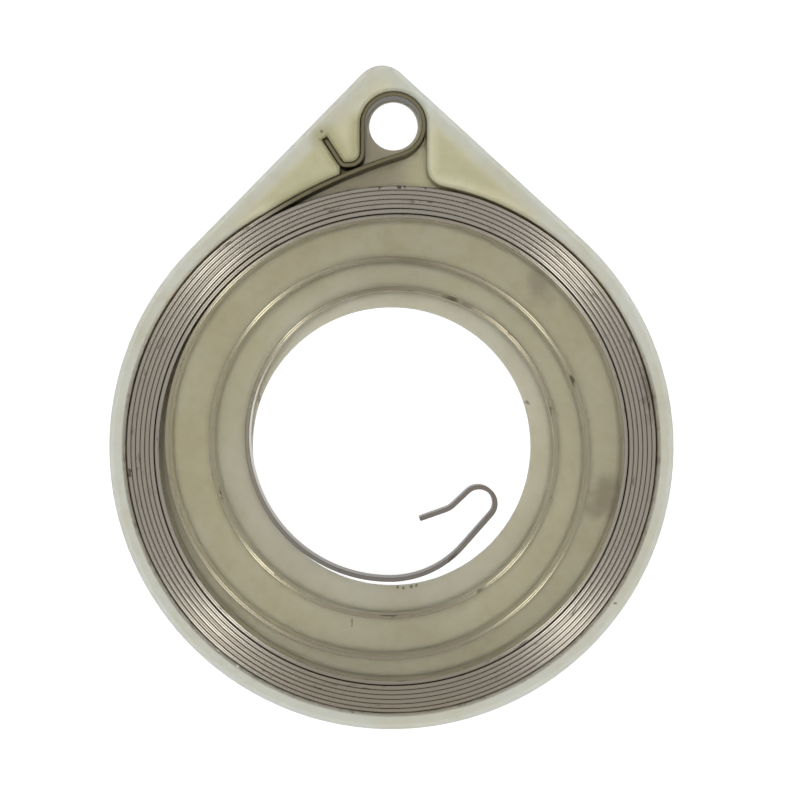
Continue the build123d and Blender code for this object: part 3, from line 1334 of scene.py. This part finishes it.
@dataclass
class StarterSpring:
    """The steel strip, swept along its path with rounded slit edges.

    Args:
        path: The strip's centre line.
        floor_thickness: Height that the strip stands on.
        width: Width of the strip, which stands upright in the cassette.
        crown_radius: Radius of the crown that rolling leaves on both edges.
        crown_steps: Faces across each crown.
        corner_radius: Rounding between a crown and a flat face.
        corner_steps: Faces round each of those corners.
        support: Width of the narrow face beside each of them.
        end_corner_radius: Rounding of the corners at both ends.
        end_steps: Faces round each of those corners.
        end_bevel: Bevel round the two end faces.
        wave_height: How much the edge wanders up and down.
        wave_lengths: Lengths of the waves in it.
        finish: What it is made of.
    """

    path: StripPath
    floor_thickness: float
    width: float = 7.0 * MM
    crown_radius: float = 0.5 * MM
    crown_steps: int = 4
    corner_radius: float = 0.045 * MM
    corner_steps: int = 3
    support: float = 0.06 * MM
    end_corner_radius: float = 0.8 * MM
    end_steps: int = 6
    end_bevel: float = 0.05 * MM
    wave_height: float = 0.09 * MM
    wave_lengths: tuple[float, ...] = (310 * MM, 97 * MM, 41 * MM)
    finish: SpringSteel = field(default_factory=SpringSteel)

    def section(self, half_height: float, inset: float) -> list[tuple[float, float]]:
        """Outline of the strip's section, anticlockwise from the lower right.

        Args:
            half_height: Half the strip's width there.
            inset: How far the whole outline is drawn in.

        Returns:
            Points as pairs of sideways and upward distance from the middle.
        """
        side = self.path.thickness / 2 - inset
        corner = self.corner_radius - inset
        crown = self.crown_radius - inset
        tilt = math.degrees(math.asin((side - corner) / (crown - corner)))
        crown_centre = half_height - inset - crown
        corner_centre = crown_centre + (crown - corner) * math.cos(math.radians(tilt))
        right = [(side, corner_centre - self.support)]
        for index in range(self.corner_steps + 1):
            out = ahead((90 - tilt) * index / self.corner_steps) * corner
            right.append((side - corner + out.x, corner_centre + out.y))
        middle = []
        for index in range(1, self.crown_steps):
            out = ahead(90 - tilt + 2 * tilt * index / self.crown_steps) * crown
            middle.append((out.x, crown_centre + out.y))
        top = right + middle + [(-across, up) for across, up in reversed(right)]
        return top + [(-across, -up) for across, up in top]

    def end_profile(self, from_end: float) -> tuple[float, float]:
        """Half height and inset of the section near an end.

        Args:
            from_end: Distance to the nearer end.

        Returns:
            The half height and the inset.
        """
        radius = self.end_corner_radius
        short = max(0.0, radius - from_end)
        half_height = self.width / 2 - radius + math.sqrt(max(0.0, radius**2 - short**2))
        inset = max(0.0, self.end_bevel - from_end)
        return half_height, inset

    def with_ends(self, stations: list[Station]) -> list[Station]:
        """Put closer stations where the corners at both ends are rounded.

        Args:
            stations: The stations of the path.

        Returns:
            The stations with both ends refined.
        """
        length = stations[-1].along
        radius = self.end_corner_radius
        turns = [math.radians(90 * index / self.end_steps) for index in range(self.end_steps + 1)]
        steps = [radius * (1 - math.cos(turn)) for turn in turns]
        near = sorted({0.0, self.end_bevel, *steps})
        first, last = stations[0], stations[-1]
        start = [Station(first.place + ahead(first.heading) * step, first.heading, step) for step in near]
        end = [Station(last.place - ahead(last.heading) * step, last.heading, length - step) for step in near]
        clear = radius * 1.05
        middle = [s for s in stations if clear < s.along < length - clear]
        return start + middle + end[::-1]

    def lift(self, along: float) -> float:
        """How far the strip stands off the floor at a place, as it isn't wound quite level.

        Args:
            along: Distance from the tail's end.

        Returns:
            The height, never below the floor.
        """
        phases = [2 * math.pi * along / length + index for index, length in enumerate(self.wave_lengths)]
        waves = [math.sin(phase) for phase in phases]
        return self.wave_height * (0.5 + 0.5 * sum(waves) / len(waves))

    def mesh(self) -> bpy.types.Mesh:
        """Sweep the section along the path.

        Returns:
            The mesh, with each point's place on the flat strip kept as on_strip.
        """
        stations = self.with_ends(self.path.line)
        length = stations[-1].along
        verts, on_strip = [], []
        for station in stations:
            half_height, inset = self.end_profile(min(station.along, length - station.along))
            middle = self.floor_thickness + self.width / 2 + self.lift(station.along)
            sideways = ahead(station.heading - 90)
            ring = self.section(half_height, inset)
            for across, up in ring:
                place = station.place + sideways * across
                verts.append((place.x, place.y, middle + up))
                on_strip.append((station.along, up, across))
        size = len(ring)
        faces = [tuple(range(size))[::-1]]
        for row in range(len(stations) - 1):
            start, next_start = row * size, (row + 1) * size
            for index in range(size):
                following = (index + 1) % size
                faces.append((start + index, start + following, next_start + following, next_start + index))
        faces.append(tuple(range(len(verts) - size, len(verts))))
        mesh = bpy.data.meshes.new("spring_strip")
        mesh.from_pydata(verts, [], faces)
        mesh.validate()
        mesh.shade_smooth()
        attribute = mesh.attributes.new("on_strip", "FLOAT_VECTOR", "POINT")
        attribute.data.foreach_set("vector", [part for spot in on_strip for part in spot])
        return mesh

    def build(self) -> bpy.types.Object:
        """Make the strip, dress it and let it stand for the spring's solid.

        Returns:
            The strip's object.
        """
        piece = bpy.data.objects.new("spring_strip", self.mesh())
        bpy.context.collection.objects.link(piece)
        piece.data.materials.append(self.finish.material(self.path, self.width))
        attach(piece, "root")
        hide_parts("spring")
        return piece


class Task(Enum):
    """What a lamp is there for: to light matt surfaces, or to leave glints on shiny ones."""

    LIGHT = "light"
    GLINT = "glint"


@dataclass(frozen=True)
class Softbox:
    """One soft lamp.

    Args:
        name: Its name.
        azimuth: Where it stands, in degrees from +X.
        elevation: How high it stands, in degrees.
        distance: How far it is from the part.
        width: Its width.
        height: Its height.
        brightness: How bright its face is, where white paper in plain light is 1.
        task: What it is there for.
    """

    name: str
    azimuth: float
    elevation: float
    distance: float
    width: float
    height: float
    brightness: float
    task: Task = Task.GLINT

    def build(self) -> bpy.types.Object:
        """Hang the lamp so that it faces the part.

        Returns:
            The lamp's object.
        """
        lamp = bpy.data.lights.new(self.name, "AREA")
        lamp.shape = "RECTANGLE"
        lamp.size = self.width
        lamp.size_y = self.height
        lamp.energy = self.brightness * math.pi * self.width * self.height
        holder = bpy.data.objects.new(self.name, lamp)
        flat = ahead(self.azimuth) * math.cos(math.radians(self.elevation))
        towards = Vector((flat.x, flat.y, math.sin(math.radians(self.elevation))))
        holder.location = towards * self.distance
        holder.rotation_euler = towards.to_track_quat("Z", "Y").to_euler()
        holder.visible_camera = False
        holder.visible_glossy = self.task is Task.GLINT
        holder.visible_diffuse = self.task is Task.LIGHT
        bpy.context.collection.objects.link(holder)
        return holder


def strip_lamps() -> tuple[Softbox, ...]:
    """Four tall narrow lamps at the corners, which leave the four glints on each turn of the strip."""
    turns = (0, 90, 180, 270)
    return tuple(Softbox(f"strip_lamp_{turn}", 45 + turn, 60, 1.2, 0.13, 0.64, 4.2) for turn in turns)


@dataclass
class Studio:
    """A pale floor, light from above and all round, four narrow lamps and the camera straight above.

    Args:
        floor_size: Width of the floor.
        floor_gap: How far it lies below the part's back.
        floor_tone: Colour of the floor.
        floor_glow: How much the floor adds for the camera, so that it comes out white.
        fill: Strength of the soft light from all round.
        overhead: The small lamp above, beside the camera's line of sight.
        corner_lamps: The narrow lamps.
        camera_place: Where the camera hangs.
        focal_pixels: Focal length as pixels of the picture.
        picture_pixels: Width of the picture in pixels.
        sensor: Width of the camera's sensor in millimetres.
    """

    floor_size: float = 6.0
    floor_gap: float = 0.02 * MM
    floor_tone: Colour = paint(188, 188, 188)
    floor_glow: float = 0.70
    fill: float = 0.28
    overhead: Softbox = Softbox("overhead", 90, 90, 1.2, 0.28, 0.28, 41, Task.LIGHT)
    corner_lamps: tuple[Softbox, ...] = field(default_factory=strip_lamps)
    camera_place: Triple = (1.126 * MM, 6.193 * MM, 427 * MM)
    focal_pixels: float = 3185.4
    picture_pixels: float = 800
    sensor: float = 36.0

    def seen(self, tree: bpy.types.NodeTree) -> Socket:
        """Tell whether a ray brings the background to the eye, straight or by a shiny surface.

        Args:
            tree: The nodes that ask.

        Returns:
            A socket that is 1 for such rays and 0 for others.
        """
        path = tree.nodes.new("ShaderNodeLightPath")
        total = path.outputs["Is Camera Ray"]
        for name in ("Is Glossy Ray", "Is Transmission Ray"):
            node = tree.nodes.new("ShaderNodeMath")
            node.operation = "MAXIMUM"
            tree.links.new(total, node.inputs[0])
            tree.links.new(path.outputs[name], node.inputs[1])
            total = node.outputs[0]
        return total

    def build_floor(self) -> bpy.types.Object:
        """Lay the floor that the part lies on.

        Returns:
            The floor's object.
        """
        half = self.floor_size / 2
        mesh = bpy.data.meshes.new("studio_floor")
        corners = [(-half, -half, 0), (half, -half, 0), (half, half, 0), (-half, half, 0)]
        mesh.from_pydata(corners, [], [(0, 1, 2, 3)])
        floor = bpy.data.objects.new("studio_floor", mesh)
        floor.location.z = -self.floor_gap
        bpy.context.collection.objects.link(floor)
        bench = Bench("studio_floor")
        bench.shader.inputs["Base Color"].default_value = (*self.floor_tone, 1)
        bench.shader.inputs["Roughness"].default_value = 0.9
        bench.shader.inputs["Specular IOR Level"].default_value = 0.0
        glow = bench.reckon(Sum.MULTIPLY, self.seen(bench.tree), self.floor_glow)
        bench.shader.inputs["Emission Color"].default_value = (1, 1, 1, 1)
        bench.feed(bench.shader.inputs["Emission Strength"], glow)
        mesh.materials.append(bench.material)
        return floor

    def build_world(self) -> bpy.types.World:
        """Light the part softly from all round, in front of a white background.

        Returns:
            The world.
        """
        world = bpy.data.worlds.new("studio")
        world.use_nodes = True
        tree = world.node_tree
        background = tree.nodes["Background"]
        background.inputs["Color"].default_value = (1, 1, 1, 1)
        node = tree.nodes.new("ShaderNodeMapRange")
        tree.links.new(self.seen(tree), node.inputs["Value"])
        node.inputs["To Min"].default_value = self.fill
        node.inputs["To Max"].default_value = 1.0
        tree.links.new(node.outputs[0], background.inputs["Strength"])
        bpy.context.scene.world = world
        return world

    def build_camera(self) -> bpy.types.Object:
        """Hang the camera above the part, looking straight down.

        Returns:
            The camera's object.
        """
        lens = bpy.data.cameras.new("camera")
        lens.sensor_width = self.sensor
        lens.lens = self.focal_pixels / self.picture_pixels * self.sensor
        lens.clip_start = 0.01
        camera = bpy.data.objects.new("camera", lens)
        camera.matrix_world = Matrix.Translation(self.camera_place)
        bpy.context.collection.objects.link(camera)
        bpy.context.scene.camera = camera
        return camera

    def build(self) -> None:
        """Set up the whole studio."""
        self.build_camera()
        self.build_world()
        self.build_floor()
        for softbox in (self.overhead, *self.corner_lamps):
            softbox.build()
        bpy.context.scene.view_settings.view_transform = "Standard"


def main() -> None:
    """Build the studio and the part, and report each piece."""
    logging.basicConfig(level=logging.INFO, format="%(name)s: %(message)s")
    Studio().build()
    sizes = CassetteSizes()
    path = StripPath(sizes)
    pieces = [Cassette(sizes, path).build(), StarterSpring(path, sizes.floor_thickness).build()]
    for piece in pieces:
        LOG.info("%s: %d faces", piece.name, len(piece.data.polygons))


if __name__ == "__main__":
    main()
